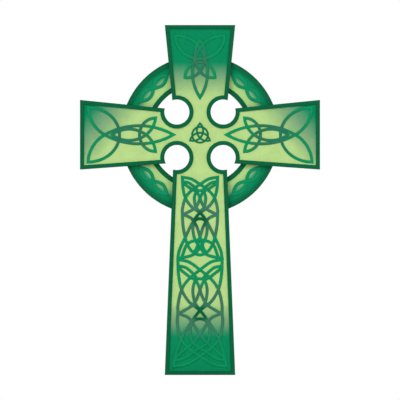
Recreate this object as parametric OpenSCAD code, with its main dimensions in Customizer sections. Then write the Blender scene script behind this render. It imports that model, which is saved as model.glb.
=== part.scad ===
// Celtic cross gravestone, carved from one stone.
// The front faces -Y and the foot stands on Z = 0, under the middle of the shaft.

/* [Cross] */
// Height of the whole cross
height = 1400; // [1160:10:1700]
// Width across the two side arms
span = 960; // [800:10:1160]
// Thickness of the shaft and the arms
thickness = 150; // [120:5:190]
// Height of the middle of the crossing
crossing = 961; // [800:1:1160]

/* [Arms] */
// Width of the top arm at its end
top_w = 282; // [235:1:340]
// What the top arm loses on each side, per mm toward the crossing
top_taper = 0.1; // [0.05:0.005:0.12]
// Height of each side arm at its end
arm_w = 279; // [232:1:336]
// What the upper edge of a side arm falls, per mm toward the crossing
arm_upper_taper = 0.1; // [0.05:0.005:0.12]
// What the lower edge of a side arm rises, per mm toward the crossing
arm_lower_taper = 0.071; // [0.04:0.001:0.12]
// Width of the shaft at its foot
foot_w = 282; // [235:1:340]
// What the shaft loses on each side, per mm of height
shaft_taper = 0.04; // [0.02:0.005:0.05]

/* [Ring] */
// Outer radius of the ring
ring_r = 317; // [270:1:380]
// Width of the ring, from its inner to its outer edge
ring_w = 116; // [90:1:130]
// Thickness of the ring, which stands back from both faces of the arms
ring_t = 100; // [80:2:116]
// Width of the raised band along the ring's inner edge
ring_band = 19; // [12:1:24]
// Width of the raised rim along the ring's outer edge
ring_rim = 17; // [12:1:24]
// Width of the hollow curve between the ring's floor and its rim
ring_cove = 12; // [6:1:16]
// Radius of the rim's worn outer corner
ring_round = 6; // [3:0.5:9]
// Depth of the ring's sunk floor
ring_sink = 5; // [3:0.5:8]

/* [Eyes] */
// Radius of the round hollow cut into each corner between the arms
eye_r = 50; // [40:1:60]
// How far each hollow passes the line of the arm ends
eye_reach = 1.5; // [0:0.5:6]

/* [Carving] */
// Width of the raised border around the arms, the shaft and the hollows
border = 16; // [12:1:20]
// Depth of the sunk panel inside the border
sink = 6; // [4:0.5:8]
// Width of a carved strand
strand_w = 12; // [9:0.5:13]
// Width of a strand in the small knot at the crossing
small_strand_w = 7.5; // [5:0.5:8]
// Width of a strand in the ring's chains
ring_strand_w = 14; // [10:0.5:15]
// Height of the strands above the floor of the arms and the shaft
strand_h = 4; // [2:0.5:4]
// Height of the strands above the floor of the ring
ring_strand_h = 3.5; // [2:0.5:4]
// Radius of the ring of the small knot, to the middle of its strand
small_ring_r = 31.5; // [26:0.5:38]
// Distance from the crossing to each point of the small knot
small_knot_r = 46; // [40:1:56]
// How far past the crossing's middle each strand of the small knot swings
small_knot_pass = 8; // [6:1:16]

/* [Shaft knots] */
// Floor left clear on each side of the upper shaft knot
upper_knot_clear = 29; // [22:1:34]
// Floor left clear on each side of the lower shaft knot
lower_knot_clear = 18; // [12:1:24]
// Floor left clear above the upper shaft knot
knot_top_clear = 13; // [8:1:20]
// Floor left clear below the lower shaft knot
knot_foot_clear = 18; // [12:1:26]

/* [Hidden] */
ground_green = "#b8d98a";
strand_green = "#008a5a";
ring_in_r = ring_r - ring_w;
arm_run = span / 2;
top_run = height - crossing;
eye_x = top_w / 2 + eye_reach - eye_r;
eye_z = arm_w / 2 + eye_reach - eye_r;
// The two shaft knots share the floor between the foot's border and the hollows. Each has its
// middle, and what it reaches below and above that, as shares of that run.
lower_knot_at = 0.28;
lower_knot_share_up = 0.285;
upper_knot_at = 0.803;
upper_knot_share_down = 0.22;
knots_from = border + knot_foot_clear;
knots_run = crossing - eye_z - eye_r - border - knot_top_clear - knots_from;
lower_knot_z = knots_from + lower_knot_at * knots_run;
lower_knot_down = lower_knot_at * knots_run;
lower_knot_up = lower_knot_share_up * knots_run;
upper_knot_z = knots_from + upper_knot_at * knots_run;
upper_knot_down = upper_knot_share_down * knots_run;
upper_knot_up = (1 - upper_knot_at) * knots_run;
bed = 1;          // how deep the strands are let into the floor, so that the solids join
blend = 0.2;      // how far each strand is widened to close the corners where strands meet
over = 1;         // how far a cut runs past a face
curve_steps = 2;  // steps between two points of a strand
arc_steps = 7;    // steps along an arc strand
round_steps = 4;  // steps around the ring's small roundings
circle_fn = 96;
small_circle_fn = 36;

// Half width of the shaft or the top arm at a height, and the edges of a side arm
function top_half(z) = top_w / 2 - top_taper * (height - z);
function shaft_half(z) = foot_w / 2 - shaft_taper * z;
function arm_top(x) = arm_w / 2 - arm_upper_taper * (arm_run - x);
function arm_bottom(x) = arm_w / 2 - arm_lower_taper * (arm_run - x);
// A distance square to a tapered edge, measured along the axis instead
function square_to(d, taper) = d * sqrt(1 + taper * taper);

// Points along a circular arc, and along a smooth curve through given points
function arc_points(c, r, from, to, n = arc_steps) =
    [for (i = [0:n]) c + r * [cos(from + (to - from) * i / n), sin(from + (to - from) * i / n)]];
function spline(p, a, b, c, d, t) =
    0.5 * (2 * p[b] + (p[c] - p[a]) * t + (2 * p[a] - 5 * p[b] + 4 * p[c] - p[d]) * t * t
        + (3 * p[b] - p[a] - 3 * p[c] + p[d]) * t * t * t);
function curve(p, n = curve_steps) = let (last = len(p) - 1)
    concat([for (i = [0:last - 1], k = [0:n - 1])
        spline(p, max(i - 1, 0), i, i + 1, min(i + 2, last), k / n)], [p[last]]);
// Unit vector square to a path at point i
function side_of(p, i) = let (
    d = p[min(i + 1, len(p) - 1)] - p[max(i - 1, 0)],
    n = norm(d)) [-d[1] / n, d[0] / n];
// Fractions of a knot's half width and half height, turned into millimetres
function scaled(p, w, h) = [for (q = p) [q[0] * w, q[1] * h]];

// A band of even width along a path
module strand(p, w = strand_w) {
    n = len(p) - 1;
    h = w / 2 - blend;
    polygon(concat(
        [for (i = [0:n]) p[i] + side_of(p, i) * h],
        [for (i = [n:-1:0]) p[i] - side_of(p, i) * h]));
}

module both_sides() {
    children();
    mirror([1, 0]) children();
}

// Arc from a to b that bows out by `bow` on its left
function bowed(a, b, bow, n = arc_steps) = let (
    chord = b - a,
    half = norm(chord) / 2,
    r = (half * half + bow * bow) / (2 * bow),
    left = [-chord[1], chord[0]] / norm(chord),
    c = (a + b) / 2 + left * (bow - r),
    spread = asin(half / r),
    mid = atan2(left[1], left[0]))
    arc_points(c, r, mid + spread, mid - spread, n);

// A triquetra stretched along +X: a long lobe from `tip` to `cross`, then two leaves whose
// points lie at `leaf`, `reach` to each side, tied by a half oval that crosses the axis at `back`
module long_triquetra(tip, cross, leaf, reach, back, bow) {
    dir = sign(cross - tip);
    half = abs(cross - tip) / 2;
    r = (half * half + bow * bow) / (2 * bow);
    slope = asin(half / r);
    chord = [leaf - cross, reach];
    turn = atan2(chord[1], dir * chord[0]) - slope;
    leaf_bow = norm(chord) / 2 * tan(turn / 2);
    for (s = [1, -1]) {
        strand(bowed([tip, 0], [cross, 0], s * dir * bow));
        strand(bowed([cross, 0], [leaf, s * reach], -s * dir * leaf_bow));
    }
    strand([for (i = [0:2 * arc_steps]) let (a = 90 - 180 * i / (2 * arc_steps))
        [leaf + (back - leaf) * cos(a), reach * sin(a)]]);
}

// The pair of interlocked triquetras on an arm that runs `run` along +X, `half` wide at its end
module arm_knot(run, half, outer, inner) {
    for (k = [outer, inner])
        long_triquetra(k[0] * run, k[1] * run, k[2] * run, k[3] * half, k[4] * run, k[5] * half);
}

// tip, cross, leaf, reach, back and bow, as shares of the arm
side_outer = [0.222, 0.794, 0.933, 0.78, 0.671, 0.26];
side_inner = [0.733, 0.45, 0.371, 0.48, 0.504, 0.163];
top_outer = [0.34, 0.79, 0.9, 0.695, 0.69, 0.213];
top_inner = [0.863, 0.579, 0.521, 0.425, 0.663, 0.14];

// The small knot at the crossing: three narrow leaves and a circle
module small_knot() {
    for (a = [90, 210, 330])
        strand(bowed(small_knot_r * [cos(a), sin(a)], small_knot_r * [cos(a + 120), sin(a + 120)],
            small_knot_r / 2 + small_knot_pass), small_strand_w);
    difference() {
        circle(r = small_ring_r + small_strand_w / 2, $fn = small_circle_fn);
        circle(r = small_ring_r - small_strand_w / 2, $fn = small_circle_fn);
    }
}

// Strands of a shaft knot's upper half, as shares of its half width and height. Z falls from 1
// at the top points to 0 at the middle.
upper_strands = [
    [[-1, 1], [-0.5, 0.955], [0, 0.81], [0.5, 0.64], [0.83, 0.445], [0.99, 0.17], [1, 0]],
    [[-1, 1], [-0.97, 0.72], [-0.83, 0.445], [-0.5, 0.22], [0, 0.055]],
    [[-0.96, 0.88], [-0.64, 0.85], [-0.34, 0.75], [-0.12, 0.64]],
    [[0, 0.645], [0.17, 0.625], [0.29, 0.53], [0.32, 0.38], [0.22, 0.19], [0, 0.075]],
    [[-0.96, 0.84], [-0.5, 0.69], [-0.22, 0.62], [-0.08, 0.53], [0.07, 0.35], [0.2, 0.23],
     [0.42, 0.13], [0.96, 0]],
];
// Strands of the lower half of the upper knot
lower_strands = [
    [[1, 0], [0.97, -0.25], [0.85, -0.54], [0.7, -0.73], [0.5, -0.865], [0.24, -0.945], [0, -0.97]],
    [[0, 0.055], [0.38, -0.16], [0.83, -0.54], [1.16, -0.84], [1.27, -1.07]],
    [[-0.96, 0], [-0.5, -0.09], [-0.22, -0.26], [-0.08, -0.42], [0.08, -0.65], [0.2, -0.81],
     [0.36, -0.91]],
    [[0, -0.1], [-0.2, -0.12], [-0.36, -0.2], [-0.4, -0.38], [-0.3, -0.58], [0, -0.79],
     [0.42, -0.97], [1.2, -1.05]],
    [[0, -0.612], [0.3, -0.625], [0.62, -0.675], [0.82, -0.77], [0.97, -0.95], [1.05, -1.03]],
];
// Strands of the lower half of the lower knot, down to its two bottom points
foot_strands = [
    [[1, 0], [0.99, -0.17], [0.83, -0.445], [0.5, -0.64], [0, -0.81], [-0.5, -0.955], [-1, -1]],
    [[0, 0.055], [0.38, -0.16], [0.7, -0.4], [0.87, -0.62], [0.97, -0.82], [1, -1]],
    [[-0.96, 0], [-0.5, -0.085], [-0.22, -0.25], [0, -0.39], [0.25, -0.54], [0.6, -0.68], [0.96, -0.84]],
    [[0, -0.1], [0.2, -0.12], [0.36, -0.19], [0.42, -0.33], [0.3, -0.55], [-0.2, -0.71], [-0.64, -0.85],
     [-0.96, -0.88]],
];

module shaft_knots() {
    upper_x = shaft_half(upper_knot_z) - border - upper_knot_clear;
    lower_x = shaft_half(lower_knot_z + lower_knot_up) - border - lower_knot_clear;
    foot_x = shaft_half(knots_from) - border - lower_knot_clear;
    translate([0, upper_knot_z]) both_sides() {
        for (p = upper_strands) strand(curve(scaled(p, upper_x, upper_knot_up)));
        for (p = lower_strands) strand(curve(scaled(p, upper_x, upper_knot_down)));
    }
    translate([0, lower_knot_z]) both_sides() {
        for (p = upper_strands) strand(curve(scaled(p, lower_x, lower_knot_up)));
        for (p = foot_strands)
            strand(curve([for (q = p) let (x = lower_x - (foot_x - lower_x) * q[1])
                [q[0] * x, q[1] * lower_knot_down]]));
    }
}

// The chain of two leaves between each pair of arms on the ring. It runs straight, square to
// the ring's radius, and its strands cross in its middle.
chain_at = 45;                       // angle of its middle above the side arm's
chain_r = ring_in_r + 0.53 * ring_w; // distance of its middle from the crossing
chain_half = 0.64 * ring_w;          // half of its length
chain_swing = 0.138 * ring_w;        // how far its strands swing to each side

module ring_chain() {
    n = 2 * arc_steps;
    rotate(chain_at) for (s = [1, -1]) strand([for (i = [-n:n])
        [chain_r + s * chain_swing * sin(180 * i / n), chain_half * i / n]], ring_strand_w);
}

// Outline of the upright and the arms, drawn `i` inside the real edge
module upright(i) {
    t = square_to(i, top_taper);
    s = square_to(i, shaft_taper);
    polygon(concat(
        [[shaft_half(i) - s, i], [shaft_half(crossing) - s, crossing],
         [top_half(crossing) - t, crossing], [top_half(height - i) - t, height - i]],
        [[t - top_half(height - i), height - i], [t - top_half(crossing), crossing],
         [s - shaft_half(crossing), crossing], [s - shaft_half(i), i]]));
}

module side_arms(i) {
    u = square_to(i, arm_upper_taper);
    l = square_to(i, arm_lower_taper);
    x = arm_run - i;
    translate([0, crossing]) polygon([
        [-x, l - arm_bottom(x)], [0, l - arm_bottom(0)], [x, l - arm_bottom(x)],
        [x, arm_top(x) - u], [0, arm_top(0) - u], [-x, arm_top(x) - u]]);
}

module outline(i = 0) {
    difference() {
        union() {
            upright(i);
            side_arms(i);
        }
        for (x = [-1, 1], z = [-1, 1])
            translate([x * eye_x, crossing + z * eye_z]) circle(r = eye_r + i, $fn = circle_fn);
    }
}

// Half of the ring's section, from its inner edge to its worn rim, as radius and depth
function ring_section() = let (
    face = ring_t / 2,
    floor_y = face - ring_sink,
    rim_r = ring_r - ring_rim) concat(
    [[ring_in_r, 0], [ring_in_r, face], [ring_in_r + ring_band, face], [ring_in_r + ring_band, floor_y],
     [rim_r - ring_cove, floor_y]],
    [for (i = [1:round_steps]) let (a = 90 * i / round_steps)
        [rim_r - ring_cove * cos(a), floor_y + ring_sink * (1 - cos(a))]],
    [for (i = [0:round_steps]) let (a = 90 - 90 * i / round_steps)
        [ring_r - ring_round + ring_round * cos(a), face - ring_round + ring_round * sin(a)]],
    [[ring_r, 0]]);

module ring() {
    s = ring_section();
    color(ground_green) translate([0, 0, crossing]) rotate([90, 0, 0]) rotate_extrude($fn = circle_fn)
        polygon(concat(s, [for (i = [len(s) - 2:-1:1]) [s[i][0], -s[i][1]]]));
}

module body() {
    color(ground_green) difference() {
        rotate([90, 0, 0]) linear_extrude(thickness, center = true) outline();
        for (s = [-1, 1])
            translate([0, s * (thickness - sink + over) / 2, 0])
                rotate([90, 0, 0]) linear_extrude(sink + over, center = true) outline(border);
    }
}

// A carved pattern that stands h above a floor lying depth in front of the middle
module carved(depth, h) {
    color(strand_green) translate([0, bed - depth, 0]) rotate([90, 0, 0])
        linear_extrude(h + bed) offset(delta = blend) children();
}

module cross() {
    body();
    ring();
    carved(thickness / 2 - sink, strand_h) {
        shaft_knots();
        translate([0, crossing]) {
            both_sides() arm_knot(arm_run, arm_w / 2, side_outer, side_inner);
            rotate(90) arm_knot(top_run, top_w / 2, top_outer, top_inner);
            small_knot();
        }
    }
    carved(ring_t / 2 - ring_sink, ring_strand_h)
        translate([0, crossing]) both_sides() for (z = [0, 1]) mirror([0, z]) ring_chain();
}

cross();
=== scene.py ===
# Celtic cross gravestone: one stone, carved in relief, under a matt green mineral wash.
# Sizes are in millimetres until a mesh is made. The front faces -Y.
import math
import bmesh
import bpy
import numpy as np
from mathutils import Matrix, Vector, geometry, noise


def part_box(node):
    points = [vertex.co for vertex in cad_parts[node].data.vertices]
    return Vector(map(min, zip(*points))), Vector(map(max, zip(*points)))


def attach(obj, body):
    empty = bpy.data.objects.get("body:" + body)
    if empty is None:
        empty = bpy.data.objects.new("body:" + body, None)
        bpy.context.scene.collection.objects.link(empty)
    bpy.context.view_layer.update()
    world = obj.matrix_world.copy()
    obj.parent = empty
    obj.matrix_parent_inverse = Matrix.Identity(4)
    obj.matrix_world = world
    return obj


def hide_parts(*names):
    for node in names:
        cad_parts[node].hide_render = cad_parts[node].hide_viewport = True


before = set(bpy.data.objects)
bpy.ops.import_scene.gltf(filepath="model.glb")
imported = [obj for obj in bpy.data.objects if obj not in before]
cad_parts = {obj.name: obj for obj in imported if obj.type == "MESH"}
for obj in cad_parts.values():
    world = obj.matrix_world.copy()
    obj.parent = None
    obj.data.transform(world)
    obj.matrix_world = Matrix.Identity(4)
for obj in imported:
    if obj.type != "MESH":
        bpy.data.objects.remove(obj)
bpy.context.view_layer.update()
low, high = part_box("cross")
mm = 0.001
print("frame loaded")

stone = {
    "height": (high.z - low.z) / mm,
    "span": (high.x - low.x) / mm,
    "thickness": (high.y - low.y) / mm,
    "crossing": 961,          # height of the middle of the crossing
    "topWidth": 282,
    "topTaper": 0.1,          # lost on each side, per mm toward the crossing
    "armWidth": 279,
    "armUpperTaper": 0.1,
    "armLowerTaper": 0.071,
    "footWidth": 282,
    "shaftTaper": 0.04,
    "eyeRadius": 50,          # round hollows in the corners between the arms
    "eyeReach": 1.5,
    "border": 16,
    "sink": 6,
    "step": 9,                # spacing of the mesh along straight edges
    "eyeSteps": 60,
    "floorStep": 14,          # spacing of the mesh on the sunk floor
    "dressing": 0.35,         # how far the hand-dressed floor waves in and out
    "dressingPatches": (46, 19),
    "wearPatch": 70,          # length of a patch of heavier or lighter wear along an arris
    "wearReach": 3,           # inset within which an arris wears
    "wear": 0.5,              # how much heavier or lighter the wear gets, as a share
    "crease": 34,             # degrees above which an edge reads as sharp
}

# Rows from the side wall over the worn arris and the border down to the floor, as inset and depth
frontRows = [(0, 4.2), (0.4, 2.3), (1.1, 1.1), (2.2, 0.35), (4, 0), (13.8, 0), (15.1, 0.35), (15.9, 1.2),
             (16.5, 4.4), (17.3, 5.6), (18.8, 6), (21, 6)]
wallRows = 9                  # rows across the side walls
borderRowsPainted = 9         # rows that carry the dark border colour, the rest is ground

armRun = stone["span"] / 2
topRun = stone["height"] - stone["crossing"]
eyeX = stone["topWidth"] / 2 + stone["eyeReach"] - stone["eyeRadius"]
eyeZ = stone["armWidth"] / 2 + stone["eyeReach"] - stone["eyeRadius"]
face = stone["thickness"] / 2
floorDepth = face - stone["sink"]


# Outline of the upright and the arms

def squareTo(distance, taper):
    return distance * math.sqrt(1 + taper * taper)


def shaftHalf(z):
    return stone["footWidth"] / 2 - stone["shaftTaper"] * z


def meetCircle(point, direction, centre, radius):
    # the farther point where a line along direction meets a circle
    d = direction.normalized()
    toCentre = centre - point
    along = toCentre.dot(d)
    off = toCentre.length_squared - along * along
    return point + d * (along + math.sqrt(radius * radius - off))


def lineSteps(a, b, count):
    return [a.lerp(b, i / count) for i in range(count)]


def onCircle(centre, radius, turns):
    return [centre + radius * Vector((math.cos(t), math.sin(t))) for t in turns]


def arcSteps(centre, radius, start, end, count):
    a0 = math.atan2(start.y - centre.y, start.x - centre.x)
    a1 = math.atan2(end.y - centre.y, end.x - centre.x)
    while a1 < a0 + math.pi:
        a1 += 2 * math.pi
    return onCircle(centre, radius, [a0 + (a1 - a0) * i / count for i in range(count)])


def outlineCorners(inset):
    # the right half from the top's middle to the foot's middle, as corners and hollows
    s = stone
    top = s["height"] - inset
    end = armRun - inset
    topT = squareTo(inset, s["topTaper"])
    shaftT = squareTo(inset, s["shaftTaper"])
    upperT = squareTo(inset, s["armUpperTaper"])
    lowerT = squareTo(inset, s["armLowerTaper"])
    radius = s["eyeRadius"] + inset
    upperEye = Vector((eyeX, s["crossing"] + eyeZ))
    lowerEye = Vector((eyeX, s["crossing"] - eyeZ))
    topCorner = Vector((s["topWidth"] / 2 - s["topTaper"] * inset - topT, top))
    armTop = Vector((end, s["crossing"] + s["armWidth"] / 2 - s["armUpperTaper"] * inset - upperT))
    armBottom = Vector((end, s["crossing"] - s["armWidth"] / 2 + s["armLowerTaper"] * inset + lowerT))
    footCorner = Vector((shaftHalf(inset) - shaftT, inset))
    onTop = meetCircle(Vector((topCorner.x - s["topTaper"] * (top - upperEye.y), upperEye.y)),
                       Vector((s["topTaper"], 1)), upperEye, radius)
    onArmTop = meetCircle(Vector((eyeX, armTop.y - s["armUpperTaper"] * (end - eyeX))),
                          Vector((1, s["armUpperTaper"])), upperEye, radius)
    onArmBottom = meetCircle(Vector((eyeX, armBottom.y + s["armLowerTaper"] * (end - eyeX))),
                             Vector((1, -s["armLowerTaper"])), lowerEye, radius)
    onShaft = meetCircle(Vector((shaftHalf(lowerEye.y) - shaftT, lowerEye.y)),
                         Vector((s["shaftTaper"], -1)), lowerEye, radius)
    return [(Vector((0, top)), None), (topCorner, None), (onTop, (upperEye, radius)), (onArmTop, None),
            (armTop, None), (armBottom, None), (onArmBottom, (lowerEye, radius)), (onShaft, None),
            (footCorner, None), (Vector((0, inset)), None)]


def stepsAround():
    corners = outlineCorners(0)
    counts = []
    for (a, eye), (b, _) in zip(corners, corners[1:]):
        counts.append(stone["eyeSteps"] if eye else max(2, round((b - a).length / stone["step"])))
    return counts


sideCounts = stepsAround()


def outlineLoop(inset):
    corners = outlineCorners(inset)
    half = []
    for (a, eye), (b, _), count in zip(corners, corners[1:], sideCounts):
        half += arcSteps(*eye, a, b, count) if eye else lineSteps(a, b, count)
    half.append(corners[-1][0])
    return half + [Vector((-p.x, p.y)) for p in reversed(half[1:-1])]


def softNoise(x, y, z, patch):
    return noise.noise(Vector((x, y, z)) / patch)


def makeMesh(name, points, faces, slots):
    mesh = bpy.data.meshes.new(name)
    mesh.from_pydata([tuple(c * mm for c in p) for p in points], [], faces)
    for wash in washes:
        mesh.materials.append(wash)
    mesh.polygons.foreach_set("material_index", slots)
    shell = bmesh.new()
    shell.from_mesh(mesh)
    bmesh.ops.recalc_face_normals(shell, faces=shell.faces)
    shell.to_mesh(mesh)
    shell.free()
    part = bpy.data.objects.new(name, mesh)
    bpy.context.scene.collection.objects.link(part)
    return part


def loft(loops, slotOf):
    # quads between loops of equal length, each loop a list of points
    count = len(loops[0])
    faces, slots = [], []
    for row in range(len(loops) - 1):
        for i in range(count):
            j = (i + 1) % count
            faces.append((row * count + i, row * count + j, (row + 1) * count + j, (row + 1) * count + i))
            slots.append(slotOf(row))
    return [p for loop in loops for p in loop], faces, slots


def insidePoints(loop, spacing, clear):
    # a staggered grid of points inside a closed outline, kept off its edge
    a = np.array([(p.x, p.y) for p in loop])
    b = np.roll(a, -1, axis=0)
    found = []
    rows = np.arange(a[:, 1].min() + clear, a[:, 1].max() - clear, spacing * 0.87)    # even triangles
    for k, z in enumerate(rows):
        for x in np.arange(a[:, 0].min() + clear + spacing / 2 * (k % 2), a[:, 0].max() - clear, spacing):
            spans = (a[:, 1] > z) != (b[:, 1] > z)
            start, end = a[spans], b[spans]
            crossX = start[:, 0] + (z - start[:, 1]) / (end[:, 1] - start[:, 1]) * (end[:, 0] - start[:, 0])
            if np.sum(crossX > x) % 2 and np.min(np.hypot(a[:, 0] - x, a[:, 1] - z)) > clear:
                found.append(Vector((x, z)))
    return found


def floorMesh(loop, firstIndex, allPoints, depth):
    # fills the floor inside its last row with small triangles and lets it wave like dressed stone
    inner = insidePoints(loop, stone["floorStep"], stone["floorStep"] * 0.6)
    count = len(loop)
    flat, _, triangles, sources, _, _ = geometry.delaunay_2d_cdt(
        loop + inner, [], [list(range(count))], 1, 1e-5)
    index = {}
    for k, source in enumerate(sources):
        if source and source[0] < count:
            index[k] = firstIndex + source[0]
        else:
            x, z = flat[k]
            long, short = stone["dressingPatches"]
            wave = stone["dressing"] * (softNoise(x, depth, z, long) + 0.5 * softNoise(x, z, depth, short))
            index[k] = len(allPoints)
            allPoints.append((x, depth + wave, z))
    return [tuple(index[k] for k in t) for t in triangles]


def makeBody():
    loops = []
    for side in (-1, 1):
        rows = []
        for inset, depth in frontRows:
            wear = stone["wear"] if inset < stone["wearReach"] else 0
            row = []
            for p in outlineLoop(inset):
                # the 300 keeps the front's wear unlike the back's
                worn = depth * (1 + wear * softNoise(p.x, side * 300, p.y, stone["wearPatch"]))
                row.append((p.x, side * (face - worn), p.y))
            rows.append(row)
        if side == -1:
            loops += rows[::-1]
            loops += [None] * (wallRows - 1)
        else:
            loops += rows
    first = len(frontRows)
    for k in range(1, wallRows):
        t = k / wallRows
        loops[first + k - 1] = [(a[0], a[1] + (b[1] - a[1]) * t, a[2])
                                for a, b in zip(loops[first - 1], loops[first + wallRows - 1])]
    groundRows = len(frontRows) - borderRowsPainted
    total = len(loops) - 1

    def slotOf(row):
        if row < groundRows or row >= total - groundRows:
            return slotGround
        return slotWall if first - 1 <= row < first + wallRows - 1 else slotBorder

    points, faces, slots = loft(loops, slotOf)
    count = len(loops[0])
    last = outlineLoop(frontRows[-1][0])
    for start, depth in ((0, -floorDepth), (total * count, floorDepth)):
        made = floorMesh(last, start, points, depth)
        faces += made
        slots += [slotGround] * len(made)
    return makeMesh("body", points, faces, slots)


ring = {
    "outer": 317,
    "width": 116,
    "thickness": 100,
    "band": 19,               # raised band along the inner edge
    "rim": 17,                # raised rim along the outer edge
    "cove": 12,               # hollow curve from the floor up to the rim
    "corner": 6,              # rounding of the rim's outer corner
    "sink": 5,                # depth of the floor below the band and the rim
    "bandRow": 7,             # rows of the section before this one carry the band's dark colour
    "steps": 288,
}

ringInner = ring["outer"] - ring["width"]
ringFace = ring["thickness"] / 2
ringFloor = ringFace - ring["sink"]


def ringRows():
    # radius and depth from the inner edge round the front to the outer edge
    inner, outer = ringInner, ring["outer"]
    bandEnd = inner + ring["band"]
    rimStart = outer - ring["rim"]
    rows = [(inner, ringFace - 3), (inner + 0.5, ringFace - 1.3), (inner + 1.4, ringFace - 0.4),
            (inner + 3, ringFace), (bandEnd - 2, ringFace), (bandEnd - 0.8, ringFace - 0.4),
            (bandEnd, ringFace - 1.4), (bandEnd + 0.5, ringFloor + 1), (bandEnd + 1.5, ringFloor + 0.2),
            (bandEnd + 4, ringFloor)]
    floorEnd = rimStart - ring["cove"]
    for k in range(1, 6):
        rows.append((bandEnd + 4 + (floorEnd - bandEnd - 4) * k / 5, ringFloor))
    for k in range(1, 7):
        a = math.pi / 2 * k / 6
        rows.append((floorEnd + ring["cove"] * math.sin(a), ringFloor + ring["sink"] * (1 - math.cos(a))))
    for k in range(7):
        a = math.pi / 2 * (1 - k / 6)
        rows.append((outer - ring["corner"] * (1 - math.cos(a)),
                     ringFace - ring["corner"] * (1 - math.sin(a))))
    return rows


def makeRing():
    half = ringRows()
    rows = [(r, -d) for r, d in half] + [(r, d) for r, d in reversed(half)]
    count = ring["steps"]
    turns = [2 * math.pi * i / count for i in range(count)]
    loops = [[(r * math.cos(t), y, stone["crossing"] + r * math.sin(t)) for t in turns] for r, y in rows]
    total = len(rows)

    def slotOf(row):
        if row in (len(half) - 1, total - 1):
            return slotWall       # the ring's outer and inner sides
        k = row if row < total / 2 else total - 1 - row
        return slotRingFloor if k >= ring["bandRow"] else slotBorder

    points, faces, slots = loft(loops + [loops[0]], slotOf)
    used = len(loops) * count
    faces = [tuple(v % used for v in f) for f in faces]
    return makeMesh("ring", points[:used], faces, slots)


# The strands: first their courses over the floor, then the weave, then the bands themselves

strands = {
    "width": 12,
    "smallWidth": 7.5,        # in the knot at the crossing
    "ringWidth": 14,
    "height": 3.7,            # above the sunk floor, before the rise at a crossing
    "ringHeight": 3.2,
    "lift": 1.2,              # how far a strand rises or dips where it passes over or under
    "bed": 1.2,               # how deep the strands are let into the floor
    "step": 4.5,              # spacing of the rows along a strand
    "mitre": 40,              # degrees of turn from which a corner is mitred
    "mitreClear": 1.15,       # how far each side of a mitre is kept free of rows, as a share of its reach
    "longestMitre": 2.4,      # as a share of half the width
    "liftReach": 1.25,        # length of a rise or dip, as a share of the width
    "flattest": 0.35,         # least sine of a crossing that still lengthens the rise
}

# Half of a strand's section, from its foot to its crown: shares of the half width and the height
strandSection = [(1, -1), (1, 0.12), (0.94, 0.48), (0.78, 0.78), (0.45, 0.96)]

knots = {
    # tip, cross, leaf, reach, back and bow, as shares of the arm
    "sideOuter": (0.222, 0.794, 0.933, 0.78, 0.671, 0.26),
    "sideInner": (0.733, 0.45, 0.371, 0.48, 0.504, 0.163),
    "topOuter": (0.34, 0.79, 0.9, 0.695, 0.69, 0.213),
    "topInner": (0.863, 0.579, 0.521, 0.425, 0.663, 0.14),
    "centreRing": 31.5,       # the centre knot: its circle, and how far its points stand from the middle
    "centreReach": 46,
    "centrePass": 8,          # how far past the middle each strand of the centre knot swings
    "upperClear": 29,         # floor left clear around the two shaft knots
    "lowerClear": 18,
    "topClear": 13,
    "footClear": 18,
    "lowerAt": 0.28,          # middle of the lower shaft knot, as a share of their run
    "lowerUp": 0.285,
    "upperAt": 0.803,
    "upperDown": 0.22,
    # the ring's chains: the angle of the first, then distance, half length and swing as shares of the width
    "chainAt": 45,
    "chainMiddle": 0.53,
    "chainHalf": 0.64,
    "chainSwing": 0.138,
}

# Strands of a shaft knot's upper half, as shares of its half width and height
upperStrands = [
    [(-1, 1), (-0.5, 0.955), (0, 0.81), (0.5, 0.64), (0.83, 0.445), (0.99, 0.17), (1, 0)],
    [(-1, 1), (-0.97, 0.72), (-0.83, 0.445), (-0.5, 0.22), (0, 0.055)],
    [(-0.96, 0.88), (-0.64, 0.85), (-0.34, 0.75), (-0.12, 0.64)],
    [(0, 0.645), (0.17, 0.625), (0.29, 0.53), (0.32, 0.38), (0.22, 0.19), (0, 0.075)],
    [(-0.96, 0.84), (-0.5, 0.69), (-0.22, 0.62), (-0.08, 0.53), (0.07, 0.35), (0.2, 0.23),
     (0.42, 0.13), (0.96, 0)],
]
# Strands of the lower half of the upper knot
lowerStrands = [
    [(1, 0), (0.97, -0.25), (0.85, -0.54), (0.7, -0.73), (0.5, -0.865), (0.24, -0.945), (0, -0.97)],
    [(0, 0.055), (0.38, -0.16), (0.83, -0.54), (1.16, -0.84), (1.27, -1.07)],
    [(-0.96, 0), (-0.5, -0.09), (-0.22, -0.26), (-0.08, -0.42), (0.08, -0.65), (0.2, -0.81),
     (0.36, -0.91)],
    [(0, -0.1), (-0.2, -0.12), (-0.36, -0.2), (-0.4, -0.38), (-0.3, -0.58), (0, -0.79), (0.42, -0.97),
     (1.2, -1.05)],
    [(0, -0.612), (0.3, -0.625), (0.62, -0.675), (0.82, -0.77), (0.97, -0.95), (1.05, -1.03)],
]
# Strands of the lower half of the lower knot, down to its two bottom points
footStrands = [
    [(1, 0), (0.99, -0.17), (0.83, -0.445), (0.5, -0.64), (0, -0.81), (-0.5, -0.955), (-1, -1)],
    [(0, 0.055), (0.38, -0.16), (0.7, -0.4), (0.87, -0.62), (0.97, -0.82), (1, -1)],
    [(-0.96, 0), (-0.5, -0.085), (-0.22, -0.25), (0, -0.39), (0.25, -0.54), (0.6, -0.68), (0.96, -0.84)],
    [(0, -0.1), (0.2, -0.12), (0.36, -0.19), (0.42, -0.33), (0.3, -0.55), (-0.2, -0.71), (-0.64, -0.85),
     (-0.96, -0.88)],
]


def turnAt(a, b, c):
    u, v = b - a, c - b
    return abs(math.degrees(u.angle_signed(v))) if u.length and v.length else 0


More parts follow.
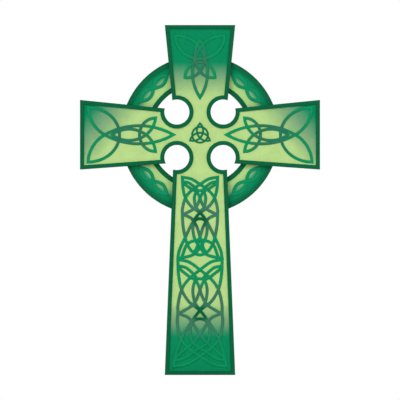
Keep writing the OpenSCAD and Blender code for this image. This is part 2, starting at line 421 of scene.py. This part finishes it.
def curvePiece(before, p, after, steps=16):
    # smooth curve through the points, closely stepped
    q = [before] + p + [after]
    out = []
    for i in range(1, len(q) - 2):
        a, b, c, d = q[i - 1:i + 3]
        for k in range(steps):
            t = k / steps
            out.append(0.5 * (2 * b + (c - a) * t + (2 * a - 5 * b + 4 * c - d) * t * t +
                              (3 * b - a - 3 * c + d) * t ** 3))
    return out + [p[-1]]


def evenSteps(p, step):
    # the same curve with points at even distances
    xy = np.array([(v.x, v.y) for v in p])
    along = np.concatenate([[0], np.cumsum(np.hypot(*np.diff(xy, axis=0).T))])
    count = max(2, round(along[-1] / step))
    at = np.linspace(0, along[-1], count + 1)
    return [Vector((x, y)) for x, y in zip(np.interp(at, along, xy[:, 0]), np.interp(at, along, xy[:, 1]))]


def smoothPath(p, closed, step, sharp=58):
    # splits the points at sharp corners, curves each run and steps it evenly
    count = len(p)
    corner = [(closed or 0 < i < count - 1) and turnAt(p[i - 1], p[i], p[(i + 1) % count]) > sharp
              for i in range(count)]
    if closed:
        first = corner.index(True) if any(corner) else 0
        p = p[first:] + p[:first] + [p[first]]
        corner = corner[first:] + corner[:first] + [corner[first]]
    breaks = sorted({0, len(p) - 1} | {i for i, c in enumerate(corner) if c})
    out = []
    for a, b in zip(breaks, breaks[1:]):
        run = p[a:b + 1]
        wraps = closed and not any(corner)
        before = p[-2] if wraps else run[0]
        after = p[1] if wraps else run[-1]
        out += evenSteps(curvePiece(before, run, after), step)[:-1]
    return out if closed else out + [p[-1]]


def joinEnds(lines, reach=0.8, sharpest=115):
    # joins strands end to end, the straightest pair first, and says which close on themselves
    paths = [(list(line), False) for line in lines]
    while True:
        best = None
        for i, (a, aClosed) in enumerate(paths):
            for j, (b, bClosed) in enumerate(paths[i:], i):
                if aClosed or bClosed:
                    continue
                for p in ([a, a[::-1]] if i != j else [a]):
                    for q in (b, b[::-1]) if i != j else [b]:
                        if (p[-1] - q[0]).length > reach:
                            continue
                        turn = turnAt(p[-2], p[-1], q[1])
                        if turn < sharpest and (best is None or turn < best[0]):
                            best = (turn, i, j, p, q)
        if best is None:
            return paths
        _, i, j, p, q = best
        if i == j:
            paths[i] = (p[:-1], True)
        else:
            joined = (p + q[1:], False)
            paths = [x for k, x in enumerate(paths) if k not in (i, j)] + [joined]


def bowed(a, b, bow, count=12):
    # arc from a to b that bows out on its left
    chord = b - a
    half = chord.length / 2
    radius = (half * half + bow * bow) / (2 * bow)
    left = Vector((-chord.y, chord.x)).normalized()
    centre = (a + b) / 2 + left * (bow - radius)
    spread = math.asin(half / radius)
    middle = math.atan2(left.y, left.x)
    return onCircle(centre, radius, [middle + spread - 2 * spread * i / count for i in range(count + 1)])


def longTriquetra(run, half, shares, ovalSteps=20):
    # one endless strand: a long lobe, two leaves and the half oval that ties them
    tip, cross, leaf, reach, back, bow = [share * size for share, size in zip(
        shares, (run, run, run, half, run, half))]
    way = 1 if cross > tip else -1
    lobe = abs(cross - tip) / 2
    radius = (lobe * lobe + bow * bow) / (2 * bow)
    chord = Vector((leaf - cross, reach))
    leafTurn = math.atan2(chord.y, way * chord.x) - math.asin(lobe / radius)
    leafBow = chord.length / 2 * math.tan(leafTurn / 2)
    a, c = Vector((tip, 0)), Vector((cross, 0))
    path = bowed(a, c, way * bow)[:-1] + bowed(c, Vector((leaf, -reach)), way * leafBow)[:-1]
    oval = [-math.pi / 2 + math.pi * i / ovalSteps for i in range(ovalSteps)]
    path += [Vector((leaf + (back - leaf) * math.cos(t), reach * math.sin(t))) for t in oval]
    path += bowed(c, Vector((leaf, reach)), -way * leafBow)[:0:-1]
    return path + bowed(a, c, -way * bow)[:0:-1]


def centreKnot(leafSteps=24, circleSteps=40):
    # three narrow leaves on one endless strand, and a circle through them
    reach = knots["centreReach"]
    middle = Vector((0, 0))
    points = onCircle(middle, reach, [math.radians(a) for a in (90, 210, 330)])
    leaves = []
    for a, b in zip(points, points[1:] + points[:1]):
        leaves += bowed(a, b, reach / 2 + knots["centrePass"], leafSteps)[:-1]
    turns = [2 * math.pi * i / circleSteps for i in range(circleSteps)]
    return [leaves, onCircle(middle, knots["centreRing"], turns)]


def ringChain(steps=20):
    # a straight chain of two leaves, square to the ring's radius
    middle = ringInner + knots["chainMiddle"] * ring["width"]
    half = knots["chainHalf"] * ring["width"]
    swing = knots["chainSwing"] * ring["width"]
    shares = [i / steps for i in range(-steps, steps)]
    path = [Vector((middle + swing * math.sin(math.pi * t), half * t)) for t in shares]
    return path + [Vector((middle + swing * math.sin(math.pi * t), -half * t)) for t in shares]


def mirrored(lines):
    return lines + [[Vector((-p.x, p.y)) for p in line] for line in lines]


def placed(line, turn, dx=0, dz=0):
    c, s = math.cos(math.radians(turn)), math.sin(math.radians(turn))
    return [Vector((p.x * c - p.y * s + dx, p.x * s + p.y * c + dz)) for p in line]


def shaftLines():
    k = knots
    start = stone["border"] + k["footClear"]
    run = (stone["crossing"] - eyeZ - stone["eyeRadius"] - stone["border"] - k["topClear"]) - start
    lowerZ, upperZ = start + k["lowerAt"] * run, start + k["upperAt"] * run
    lowerDown, lowerUp = k["lowerAt"] * run, k["lowerUp"] * run
    upperDown, upperUp = k["upperDown"] * run, (1 - k["upperAt"]) * run
    upperX = shaftHalf(upperZ) - stone["border"] - k["upperClear"]
    lowerX = shaftHalf(lowerZ + lowerUp) - stone["border"] - k["lowerClear"]
    footX = shaftHalf(start) - stone["border"] - k["lowerClear"]
    lines = [[Vector((x * upperX, upperZ + z * upperUp)) for x, z in s] for s in upperStrands]
    lines += [[Vector((x * upperX, upperZ + z * upperDown)) for x, z in s] for s in lowerStrands]
    lines += [[Vector((x * lowerX, lowerZ + z * lowerUp)) for x, z in s] for s in upperStrands]
    lines += [[Vector((x * (lowerX - (footX - lowerX) * z), lowerZ + z * lowerDown)) for x, z in s]
              for s in footStrands]
    return mirrored(lines)


def findCrossings(paths):
    # where strands cross: (path, place along it) pairs, with the sine of the angle between them
    owner, at, a, b = [], [], [], []
    for n, (p, closed) in enumerate(paths):
        count = len(p) if closed else len(p) - 1
        for i in range(count):
            owner.append(n)
            at.append(i)
            a.append(p[i])
            b.append(p[(i + 1) % len(p)])
    owner, at = np.array(owner), np.array(at)
    a = np.array([(v.x, v.y) for v in a])
    d = np.array([(v.x, v.y) for v in b]) - a
    found = []
    for i in range(len(a)):
        w = a[i + 1:] - a[i]
        e = d[i + 1:]
        det = d[i, 0] * e[:, 1] - d[i, 1] * e[:, 0]
        det[np.abs(det) < 1e-9] = 1e-9
        t = (w[:, 0] * e[:, 1] - w[:, 1] * e[:, 0]) / det
        u = (w[:, 0] * d[i, 1] - w[:, 1] * d[i, 0]) / det
        for j in np.nonzero((t >= 0) & (t < 1) & (u >= 0) & (u < 1))[0]:
            k = i + 1 + j
            gap = abs(at[k] - at[i])
            size = len(paths[owner[i]][0])
            if owner[k] == owner[i] and min(gap, size - gap) < 4:
                continue          # neighbours round a corner, not a crossing
            sine = abs(det[j]) / (np.hypot(*d[i]) * np.hypot(*d[k]))
            found.append(((owner[i], at[i] + t[j]), (owner[k], at[k] + u[j]),
                          max(sine, strands["flattest"])))
    return found


def weave(paths):
    # over and under by turns along each strand; for each path its (place, sign, sine, crossing)
    crossings = findCrossings(paths)
    stops = {n: [] for n in range(len(paths))}
    for c, (one, two, _) in enumerate(crossings):
        stops[one[0]].append((one[1], c, 1))
        stops[two[0]].append((two[1], c, -1))
    for n in stops:
        stops[n].sort()
    sign = {}
    for c in range(len(crossings)):
        if c in sign:
            continue
        sign[c] = 1
        queue = [c]
        while queue:
            here = queue.pop()
            for n, line in stops.items():
                for i, (_, cc, role) in enumerate(line):
                    if cc != here:
                        continue
                    for j in (i - 1, i + 1):
                        if 0 <= j < len(line) and line[j][1] not in sign:
                            sign[line[j][1]] = -sign[here] * role * line[j][2]
                            queue.append(line[j][1])
    return [[(place, sign[c] * role, crossings[c][2], c) for place, c, role in stops[n]]
            for n in range(len(paths))]


def ownCuts(stops):
    # places where a strand is cut so that no piece of it crosses itself
    cuts, seen, last = [], set(), 0
    for place, _, _, crossing in stops:
        if crossing in seen:
            cuts.append((last + place) / 2)
            seen = set()
        seen.add(crossing)
        last = place
    return cuts


def tube(name, loops, closed, slot):
    # skin between equal loops, capped at both ends unless it closes on itself
    size, rows = len(loops[0]), len(loops)
    faces = []
    for r in range(rows if closed else rows - 1):
        s = (r + 1) % rows
        for i in range(size):
            j = (i + 1) % size
            faces.append((r * size + i, s * size + i, s * size + j, r * size + j))
    if not closed:
        faces += [tuple(range(size)), tuple((rows - 1) * size + i for i in reversed(range(size)))]
    return makeMesh(name, [p for loop in loops for p in loop], faces, [slot] * len(faces))


def sweepStrand(name, path, closed, width, height, depth, stops, slot):
    # a rounded band along the path, let into the floor, with mitred corners
    count = len(path)
    half = width / 2
    section = strandSection + [(0, 1)] + [(-x, z) for x, z in reversed(strandSection)]
    keep, frames = [], []
    turns = [0] * count
    for i in range(count):
        if closed or 0 < i < count - 1:
            turns[i] = turnAt(path[i - 1], path[i], path[(i + 1) % count])
    sharp = [i for i in range(count) if turns[i] > strands["mitre"]]
    for i in range(count):
        near = False
        for s in sharp:
            gap = abs(i - s)
            gap = min(gap, count - gap) if closed else gap
            mitre = half * math.tan(math.radians(turns[s] / 2))
            if 0 < gap * strands["step"] < mitre * strands["mitreClear"]:
                near = True
        if not near:
            keep.append(i)
    for i in keep:
        before = path[i - 1] if closed or i > 0 else path[0]
        after = path[(i + 1) % count] if closed or i < count - 1 else path[-1]
        into = (path[i] - before).normalized() if before != path[i] else (after - path[i]).normalized()
        out = (after - path[i]).normalized() if after != path[i] else into
        side = Vector((-into.y - out.y, into.x + out.x)).normalized()
        wide = min(1 / max(side.dot(Vector((-into.y, into.x))), 0.1), strands["longestMitre"])
        lift = 0
        for place, way, sine, _ in stops:
            gap = abs(i - place)
            gap = min(gap, count - gap) if closed else gap
            t = gap * strands["step"] / (width * strands["liftReach"] / sine)
            lift += way * max(0, 0.5 + 0.5 * math.cos(math.pi * min(t, 1)))
        lift = strands["lift"] * max(-1, min(1, lift)) * width / strands["width"]
        frames.append((path[i], side * half * wide, height + lift))
    loops = []
    for centre, across, rise in frames:
        # a section point below the floor goes down to the bed, and the others up by their share of the rise
        loops.append([(centre.x + across.x * x, -depth - (z * rise if z > 0 else -strands["bed"]),
                       centre.y + across.y * x) for x, z in section])
    cuts = ownCuts(stops)
    if not cuts:
        return [tube(name, loops, closed, slot)]
    if closed:
        loops.append(loops[0])
        keep.append(count)
    rows = [min(range(len(keep)), key=lambda r: abs(keep[r] - cut)) for cut in cuts]
    ends = [0] + rows + [len(loops) - 1]
    return [tube(f"{name}_{n}", loops[a:b + 1], False, slot)
            for n, (a, b) in enumerate(zip(ends, ends[1:])) if b > a]


def makeStrands():
    s = strands
    shaft = [(smoothPath(p, closed, s["step"]), closed) for p, closed in joinEnds(shaftLines())]
    groups = [(shaft, s["width"], s["height"], floorDepth, slotStrand)]
    cz = stone["crossing"]
    for turn, run, half, kinds in ((0, armRun, stone["armWidth"] / 2, ("sideOuter", "sideInner")),
                                   (180, armRun, stone["armWidth"] / 2, ("sideOuter", "sideInner")),
                                   (90, topRun, stone["topWidth"] / 2, ("topOuter", "topInner"))):
        lines = [placed(longTriquetra(run, half, knots[kind]), turn, 0, cz) for kind in kinds]
        if turn == 180:
            lines = [[Vector((p.x, 2 * cz - p.y)) for p in line][::-1] for line in lines]
        groups.append(([(smoothPath(p, True, s["step"]), True) for p in lines],
                       s["width"], s["height"], floorDepth, slotStrand))
    centre = [(smoothPath(placed(p, 0, 0, cz), True, s["step"]), True) for p in centreKnot()]
    groups.append((centre, s["smallWidth"], s["height"], floorDepth, slotStrand))
    for turn in (0, 90, 180, 270):
        path = placed(ringChain(), knots["chainAt"] + turn, 0, cz)
        groups.append(([(smoothPath(path, True, s["step"]), True)], s["ringWidth"], s["ringHeight"],
                       ringFloor, slotRingStrand))
    made = []
    for g, (paths, width, height, depth, slot) in enumerate(groups):
        stops = weave(paths)
        for n, (path, closed) in enumerate(paths):
            made += sweepStrand(f"strand{g}_{n}", path, closed, width, height, depth, stops[n], slot)
    return made


# Finish: fine-grained sandstone under a thin matt mineral wash. The colour lies even and chalky, with
# hardly any sheen, and the grain shows in the relief.
finish = {
    "grain": 2.2,             # mm, real grit is finer, drawn as coarse as it needs to show
    "patch": 38,              # mm, cloudy thick and thin of the wash
    "pit": 9,                 # mm, shallow tool pecks
    "pitDepth": 1.3,          # mm
    "tone": 2.4,              # strength of the clouds and the grit in the colour, for each wash's own tone
    "grit": 0.7,              # height of the grain beside the pecks
    "chisel": 7,              # mm between the lines that the chisel left on the side walls
    "roughness": 0.85,
    "sheen": 0.1,
}


def linear(hexColour):
    parts = [int(hexColour[i:i + 2], 16) / 255 for i in (1, 3, 5)]
    return [c / 12.92 if c <= 0.04045 else ((c + 0.055) / 1.055) ** 2.4 for c in parts] + [1]


def addNode(tree, kind, settings=None, links=None):
    # settings name an input, a property or a ramp's stops, and links name an input
    node = tree.nodes.new(kind)
    for key, value in (settings or {}).items():
        if key == "stops":
            points = node.color_ramp.elements
            while len(points) < len(value):
                points.new(0.5)
            for point, (place, colour) in zip(points, value):
                point.position = place
                point.color = linear(colour)
        elif isinstance(key, int) or key in node.inputs:
            node.inputs[key].default_value = value
        else:
            setattr(node, key, value)
    for key, source in (links or {}).items():
        tree.links.new(source, node.inputs[key])
    return node


def startWash(name):
    # returns the node tree, the place on the stone and the same place folded over its middle
    material = bpy.data.materials.new(name)
    material.use_nodes = True
    tree = material.node_tree
    tree.nodes.clear()
    place = addNode(tree, "ShaderNodeTexCoord").outputs["Object"]
    folded = addNode(tree, "ShaderNodeVectorMath", {"operation": "ABSOLUTE"}, {0: place}).outputs[0]
    return material, tree, place, folded


def finishWash(tree, place, colour, tone, relief, tooling=None):
    # clouds and grain over the colour, then the stone's own relief, with chisel lines where it has them
    noises = []
    for size, detail in ((finish["patch"], 4), (finish["grain"], 2), (finish["pit"], 3)):
        noises.append(addNode(tree, "ShaderNodeTexNoise", {"Scale": 1 / (size * mm), "Detail": detail},
                              {"Vector": place}).outputs["Fac"])
    clouds, grain, pecks = noises
    swing = finish["tone"] * tone
    level = addNode(tree, "ShaderNodeMath", {"operation": "MULTIPLY_ADD", 1: swing, 2: 1 - swing},
                    {0: clouds}).outputs[0]
    level = addNode(tree, "ShaderNodeMath", {"operation": "MULTIPLY_ADD", 1: swing},
                    {0: grain, 2: level}).outputs[0]
    tinted = addNode(tree, "ShaderNodeMix", {"data_type": "RGBA", "blend_type": "MULTIPLY", 0: 1.0},
                     {7: level})
    if isinstance(colour, str):
        tinted.inputs[6].default_value = linear(colour)
    else:
        tree.links.new(colour, tinted.inputs[6])
    height = addNode(tree, "ShaderNodeMath", {"operation": "MULTIPLY_ADD", 1: finish["grit"]},
                     {0: grain, 2: pecks}).outputs[0]
    if tooling:
        height = addNode(tree, "ShaderNodeMath", {"operation": "ADD"}, {0: height, 1: tooling}).outputs[0]
    bump = addNode(tree, "ShaderNodeBump", {"Strength": relief, "Distance": finish["pitDepth"] * mm},
                   {"Height": height})
    shader = addNode(tree, "ShaderNodeBsdfPrincipled",
                     {"Roughness": finish["roughness"], "Specular IOR Level": finish["sheen"]},
                     {"Base Color": tinted.outputs[2], "Normal": bump.outputs["Normal"]})
    addNode(tree, "ShaderNodeOutputMaterial", links={"Surface": shader.outputs[0]})


deepGreen = "#04623d"


def deepGreenWash():
    # border and ring band: the wash lies thick and dark on the dressed faces; the rim's dark is painted
    # shade from the ring floor's ramp
    material, tree, place, _ = startWash("deepGreenWashOnDressedStone")
    finishWash(tree, place, deepGreen, tone=0.12, relief=0.7)
    return material


def tooledWash():
    # side walls: left as the chisel drove them, in slanting lines, under the same dark wash
    material, tree, place, _ = startWash("deepGreenWashOnTooledStone")
    # a wave repeats every pi / 5 along the sum of its axes, so a wall square to one of them takes root 2
    scale = math.pi / 5 / math.sqrt(2) / (finish["chisel"] * mm)
    lines = addNode(tree, "ShaderNodeTexWave", {"wave_type": "BANDS", "bands_direction": "DIAGONAL",
                                                "Scale": scale, "Distortion": 1.2, "Detail": 2,
                                                "Detail Scale": 1.5},
                    {"Vector": place}).outputs["Fac"]
    finishWash(tree, place, deepGreen, tone=0.14, relief=0.75, tooling=lines)
    return material


ground = {
    "top": (1252, 1108),      # heights between which the full green fades out, in the top arm
    "foot": (152, 300),
    "slope": (-0.76, 0, -0.65),
    "sides": (-1024, -856),   # the same in the side arms, measured down the slope
    "stops": [(0, "#00895a"), (0.11, "#309067"), (0.22, "#559a6c"), (0.33, "#69a278"), (0.44, "#7da87a"),
              (0.56, "#89b379"), (0.67, "#94be80"), (0.78, "#a5c782"), (0.89, "#b0d58a"), (1, "#b8d98a")],
}


def groundWash():
    # sunk floor: pale lichen green, deepening to full green at the top, the foot and the arm ends
    material, tree, place, folded = startWash("paleGreenWashOnSunkGround")
    height = addNode(tree, "ShaderNodeSeparateXYZ", links={0: folded}).outputs["Z"]
    slant = addNode(tree, "ShaderNodeVectorMath", {"operation": "DOT_PRODUCT", 1: ground["slope"]},
                    {0: folded}).outputs["Value"]
    share = None
    for value, span in ((height, "top"), (height, "foot"), (slant, "sides")):
        start, end = ground[span]
        fade = addNode(tree, "ShaderNodeMapRange", {"From Min": start * mm, "From Max": end * mm},
                       {"Value": value}).outputs[0]
        if share:
            fade = addNode(tree, "ShaderNodeMath", {"operation": "MINIMUM"}, {0: share, 1: fade}).outputs[0]
        share = fade
    colour = addNode(tree, "ShaderNodeValToRGB", {"stops": ground["stops"]}, {0: share}).outputs[0]
    finishWash(tree, place, colour, tone=0.1, relief=0.75)
    return material


# radii in mm between which the ring's ramp runs; its stops past about 300 mm are painted shade over the
# rim's rounded outer edge
ringTintAndRimShade = {
    "from": 236,
    "to": 317,
    "stops": [(0, "#b2d888"), (0.15, "#a5cd82"), (0.27, "#86b780"), (0.35, "#64a57a"), (0.43, "#239266"),
              (0.52, "#048a59"), (0.67, "#048657"), (0.79, "#05734b"), (0.88, "#05653f"), (1, "#05613d")],
}


def ringFloorWashAndRimShade():
    # the ring's floor goes from pale by its inner band to full green, then darkens over the rim toward its
    # rounded outer edge: that darkening is painted shade of the rounded edge
    material, tree, place, _ = startWash("gradedGreenWashAndPaintedRimShadeOnRing")
    flat = addNode(tree, "ShaderNodeVectorMath", {"operation": "MULTIPLY_ADD", 1: (1, 0, 1),
                                                  2: (0, 0, -stone["crossing"] * mm)}, {0: place})
    radius = addNode(tree, "ShaderNodeVectorMath", {"operation": "LENGTH"}, {0: flat.outputs[0]})
    share = addNode(tree, "ShaderNodeMapRange", {"From Min": ringTintAndRimShade["from"] * mm,
                                                 "From Max": ringTintAndRimShade["to"] * mm},
                    {"Value": radius.outputs["Value"]}).outputs[0]
    colour = addNode(tree, "ShaderNodeValToRGB", {"stops": ringTintAndRimShade["stops"]}, {0: share}).outputs[0]
    finishWash(tree, place, colour, tone=0.1, relief=0.7)
    return material


strandTint = {
    # height in mm and colour, up the shaft and the top arm
    "byHeight": [(118, "#04905b"), (140, "#0c8c5c"), (166, "#2e8560"), (205, "#3a7a5c"), (345, "#37785c"),
                 (366, "#0a8f5c"), (545, "#00905d"), (566, "#37785c"), (680, "#3c7d62"), (706, "#0a8a5c"),
                 (1095, "#008f5a"), (1125, "#168558"), (1160, "#2b7d58"), (1255, "#2f7b5b"),
                 (1300, "#1f8560"), (1335, "#04905b")],
    # distance from the middle in mm and colour, out along the side arms
    "byReach": [(60, "#04754b"), (100, "#00965f"), (190, "#0c8f5c"), (232, "#2a7856"), (335, "#26785a"),
                (356, "#12845a"), (440, "#0a9060")],
    "armsAt": 957,            # the height of the side arms' strands, and how far they reach from it
    "armsReach": 131,
    "topArm": 1090,
    "topLeaves": (24, 50),    # the top arm's leaves turn bright between these distances
    "bright": "#04915c",
    "knotMiddles": (624, 246),
    "middleFade": (42, 24),
    "middle": "#005f3c",
}


def strandWash():
    # strands: bright copper green, greyer on the lobes and darkest in the middle of each shaft knot
    tint = strandTint
    material, tree, place, folded = startWash("copperGreenWashOnStrands")
    axes = addNode(tree, "ShaderNodeSeparateXYZ", links={0: folded}).outputs
    ramps = []
    for axis, span, stops in (("Z", stone["height"], tint["byHeight"]), ("X", armRun, tint["byReach"])):
        share = addNode(tree, "ShaderNodeMapRange", {"From Max": span * mm}, {"Value": axes[axis]})
        ramps.append(addNode(tree, "ShaderNodeValToRGB", {"stops": [(at / span, c) for at, c in stops]},
                             {0: share.outputs[0]}).outputs[0])
    inArms = addNode(tree, "ShaderNodeMath", {"operation": "COMPARE", 1: tint["armsAt"] * mm,
                                              2: tint["armsReach"] * mm}, {0: axes["Z"]})
    colour = addNode(tree, "ShaderNodeMix", {"data_type": "RGBA"},
                     {0: inArms.outputs[0], 6: ramps[0], 7: ramps[1]}).outputs[2]
    start, end = tint["topLeaves"]
    out = addNode(tree, "ShaderNodeMapRange", {"From Min": start * mm, "From Max": end * mm},
                  {"Value": axes["X"]}).outputs[0]
    above = addNode(tree, "ShaderNodeMath", {"operation": "GREATER_THAN", 1: tint["topArm"] * mm},
                    {0: axes["Z"]}).outputs[0]
    leaves = addNode(tree, "ShaderNodeMath", {"operation": "MULTIPLY"}, {0: out, 1: above}).outputs[0]
    colour = addNode(tree, "ShaderNodeMix", {"data_type": "RGBA", 7: linear(tint["bright"])},
                     {0: leaves, 6: colour}).outputs[2]
    flat = addNode(tree, "ShaderNodeVectorMath", {"operation": "MULTIPLY", 1: (1, 0, 1)}, {0: place})
    start, end = tint["middleFade"]
    for z in tint["knotMiddles"]:
        away = addNode(tree, "ShaderNodeVectorMath", {"operation": "DISTANCE", 1: (0, 0, z * mm)},
                       {0: flat.outputs[0]})
        near = addNode(tree, "ShaderNodeMapRange", {"From Min": start * mm, "From Max": end * mm},
                       {"Value": away.outputs["Value"]})
        colour = addNode(tree, "ShaderNodeMix", {"data_type": "RGBA", 7: linear(tint["middle"])},
                         {0: near.outputs[0], 6: colour}).outputs[2]
    finishWash(tree, place, colour, tone=0.12, relief=0.6)
    return material


def ringStrandWash():
    # the ring's leaves: the same copper green, a little deeper
    material, tree, place, _ = startWash("copperGreenWashOnRingStrands")
    finishWash(tree, place, "#0c9160", tone=0.12, relief=0.6)
    return material


slotBorder, slotGround, slotRingFloor, slotStrand, slotRingStrand, slotWall = range(6)
washes = [deepGreenWash(), groundWash(), ringFloorWashAndRimShade(), strandWash(), ringStrandWash(), tooledWash()]


def dropFlaps(mesh):
    # a union leaves a few pairs of faces back to back on the same corners, with nothing between them
    shell = bmesh.new()
    shell.from_mesh(mesh)
    byCorners = {}
    for face in shell.faces:
        byCorners.setdefault(frozenset(face.verts), []).append(face)
    flaps = [face for pair in byCorners.values() if len(pair) > 1 for face in pair]
    bmesh.ops.delete(shell, geom=flaps, context="FACES")
    shell.to_mesh(mesh)
    shell.free()


def unite(base, others):
    for part in others:
        union = base.modifiers.new("union", "BOOLEAN")
        union.operation = "UNION"
        union.solver = "MANIFOLD"
        union.object = part
    bpy.context.view_layer.update()
    evaluated = base.evaluated_get(bpy.context.evaluated_depsgraph_get())
    mesh = bpy.data.meshes.new_from_object(evaluated)
    for part in [base] + others:
        bpy.data.objects.remove(part)
    dropFlaps(mesh)
    return mesh


body = makeBody()
ringPart = makeRing()
print("body and ring made", len(body.data.polygons), len(ringPart.data.polygons))
strandParts = makeStrands()
print("strands made", len(strandParts), sum(len(p.data.polygons) for p in strandParts))
carving = unite(strandParts[0], strandParts[1:])
carvingPart = bpy.data.objects.new("carving", carving)
bpy.context.scene.collection.objects.link(carvingPart)
stoneMesh = unite(body, [ringPart, carvingPart])
stoneMesh.name = "carvedStone"
cross = bpy.data.objects.new("carvedStone", stoneMesh)
bpy.context.scene.collection.objects.link(cross)
stoneMesh.shade_smooth()
stoneMesh.set_sharp_from_angle(angle=math.radians(stone["crease"]))
triangles = sum(len(p.vertices) - 2 for p in stoneMesh.polygons)
print("stone united:", triangles, "triangles")
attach(cross, "root")
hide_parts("cross")


# The stage: a wide pale floor under an even white world, with three soft suns
studio = {
    "ambient": 0.5,           # strength of the white world on the stone
    "floor": "#f2f2f0",
    "floorWhite": 0.6,        # how far the floor is lifted toward white for the camera
    "floorHalf": 80,          # m, so far that its edge is never in view
    # wide soft suns, which light all of the floor alike: where each stands, and its strength
    "lamps": [("key", (-1.6, -3.2, 2.0), 1.14), ("fill", (2.2, -3.0, 0.8), 0.55),
              ("back", (0.6, 3.2, 1.9), 0.9)],
    "softness": 34,           # degrees across each sun
    "cameraPlace": (0, -4, 0.7),
    "cameraWidth": 1.6,       # m across the view
}


def makeStage():
    half = studio["floorHalf"]
    mesh = bpy.data.meshes.new("floor")
    mesh.from_pydata([(-half, -half, 0), (half, -half, 0), (half, half, 0), (-half, half, 0)], [],
                     [(0, 1, 2, 3)])
    floor = bpy.data.objects.new("floor", mesh)
    bpy.context.scene.collection.objects.link(floor)
    material = bpy.data.materials.new("palePlasterFloor")
    material.use_nodes = True
    tree = material.node_tree
    tree.nodes.clear()
    # plain matt plaster that takes the shadow, and reads as white where only the camera sees it
    plaster = addNode(tree, "ShaderNodeBsdfDiffuse", {"Color": linear(studio["floor"])})
    glow = addNode(tree, "ShaderNodeEmission")
    seen = addNode(tree, "ShaderNodeLightPath").outputs["Is Camera Ray"]
    share = addNode(tree, "ShaderNodeMath", {"operation": "MULTIPLY", 1: studio["floorWhite"]}, {0: seen})
    mix = addNode(tree, "ShaderNodeMixShader", links={0: share.outputs[0], 1: plaster.outputs[0],
                                                      2: glow.outputs[0]})
    addNode(tree, "ShaderNodeOutputMaterial", links={"Surface": mix.outputs[0]})
    mesh.materials.append(material)
    world = bpy.data.worlds.new("studio")
    world.use_nodes = True
    tree = world.node_tree
    tree.nodes.clear()
    path = addNode(tree, "ShaderNodeLightPath").outputs
    seen = path["Is Camera Ray"]
    for ray in ("Is Glossy Ray", "Is Transmission Ray"):
        seen = addNode(tree, "ShaderNodeMath", {"operation": "MAXIMUM"}, {0: seen, 1: path[ray]}).outputs[0]
    ambient = addNode(tree, "ShaderNodeBackground", {"Color": (1, 1, 1, 1), "Strength": studio["ambient"]})
    white = addNode(tree, "ShaderNodeBackground", {"Color": (1, 1, 1, 1), "Strength": 1})
    mix = addNode(tree, "ShaderNodeMixShader", links={0: seen, 1: ambient.outputs[0], 2: white.outputs[0]})
    addNode(tree, "ShaderNodeOutputWorld", links={"Surface": mix.outputs[0]})
    bpy.context.scene.world = world


def makeLights():
    for name, place, power in studio["lamps"]:
        lamp = bpy.data.lights.new(name, "SUN")
        lamp.angle = math.radians(studio["softness"])
        lamp.energy = power
        holder = bpy.data.objects.new(name, lamp)
        holder.location = place
        holder.rotation_euler = (-Vector(place)).to_track_quat("-Z", "Y").to_euler()
        bpy.context.scene.collection.objects.link(holder)


def makeCamera():
    data = bpy.data.cameras.new("camera")
    data.type = "ORTHO"
    data.ortho_scale = studio["cameraWidth"]
    camera = bpy.data.objects.new("camera", data)
    camera.location = studio["cameraPlace"]
    camera.rotation_euler = (math.pi / 2, 0, 0)
    bpy.context.scene.collection.objects.link(camera)
    bpy.context.scene.camera = camera


makeStage()
makeLights()
makeCamera()
bpy.context.scene.view_settings.view_transform = "Standard"
print("stage, lamps and camera set")
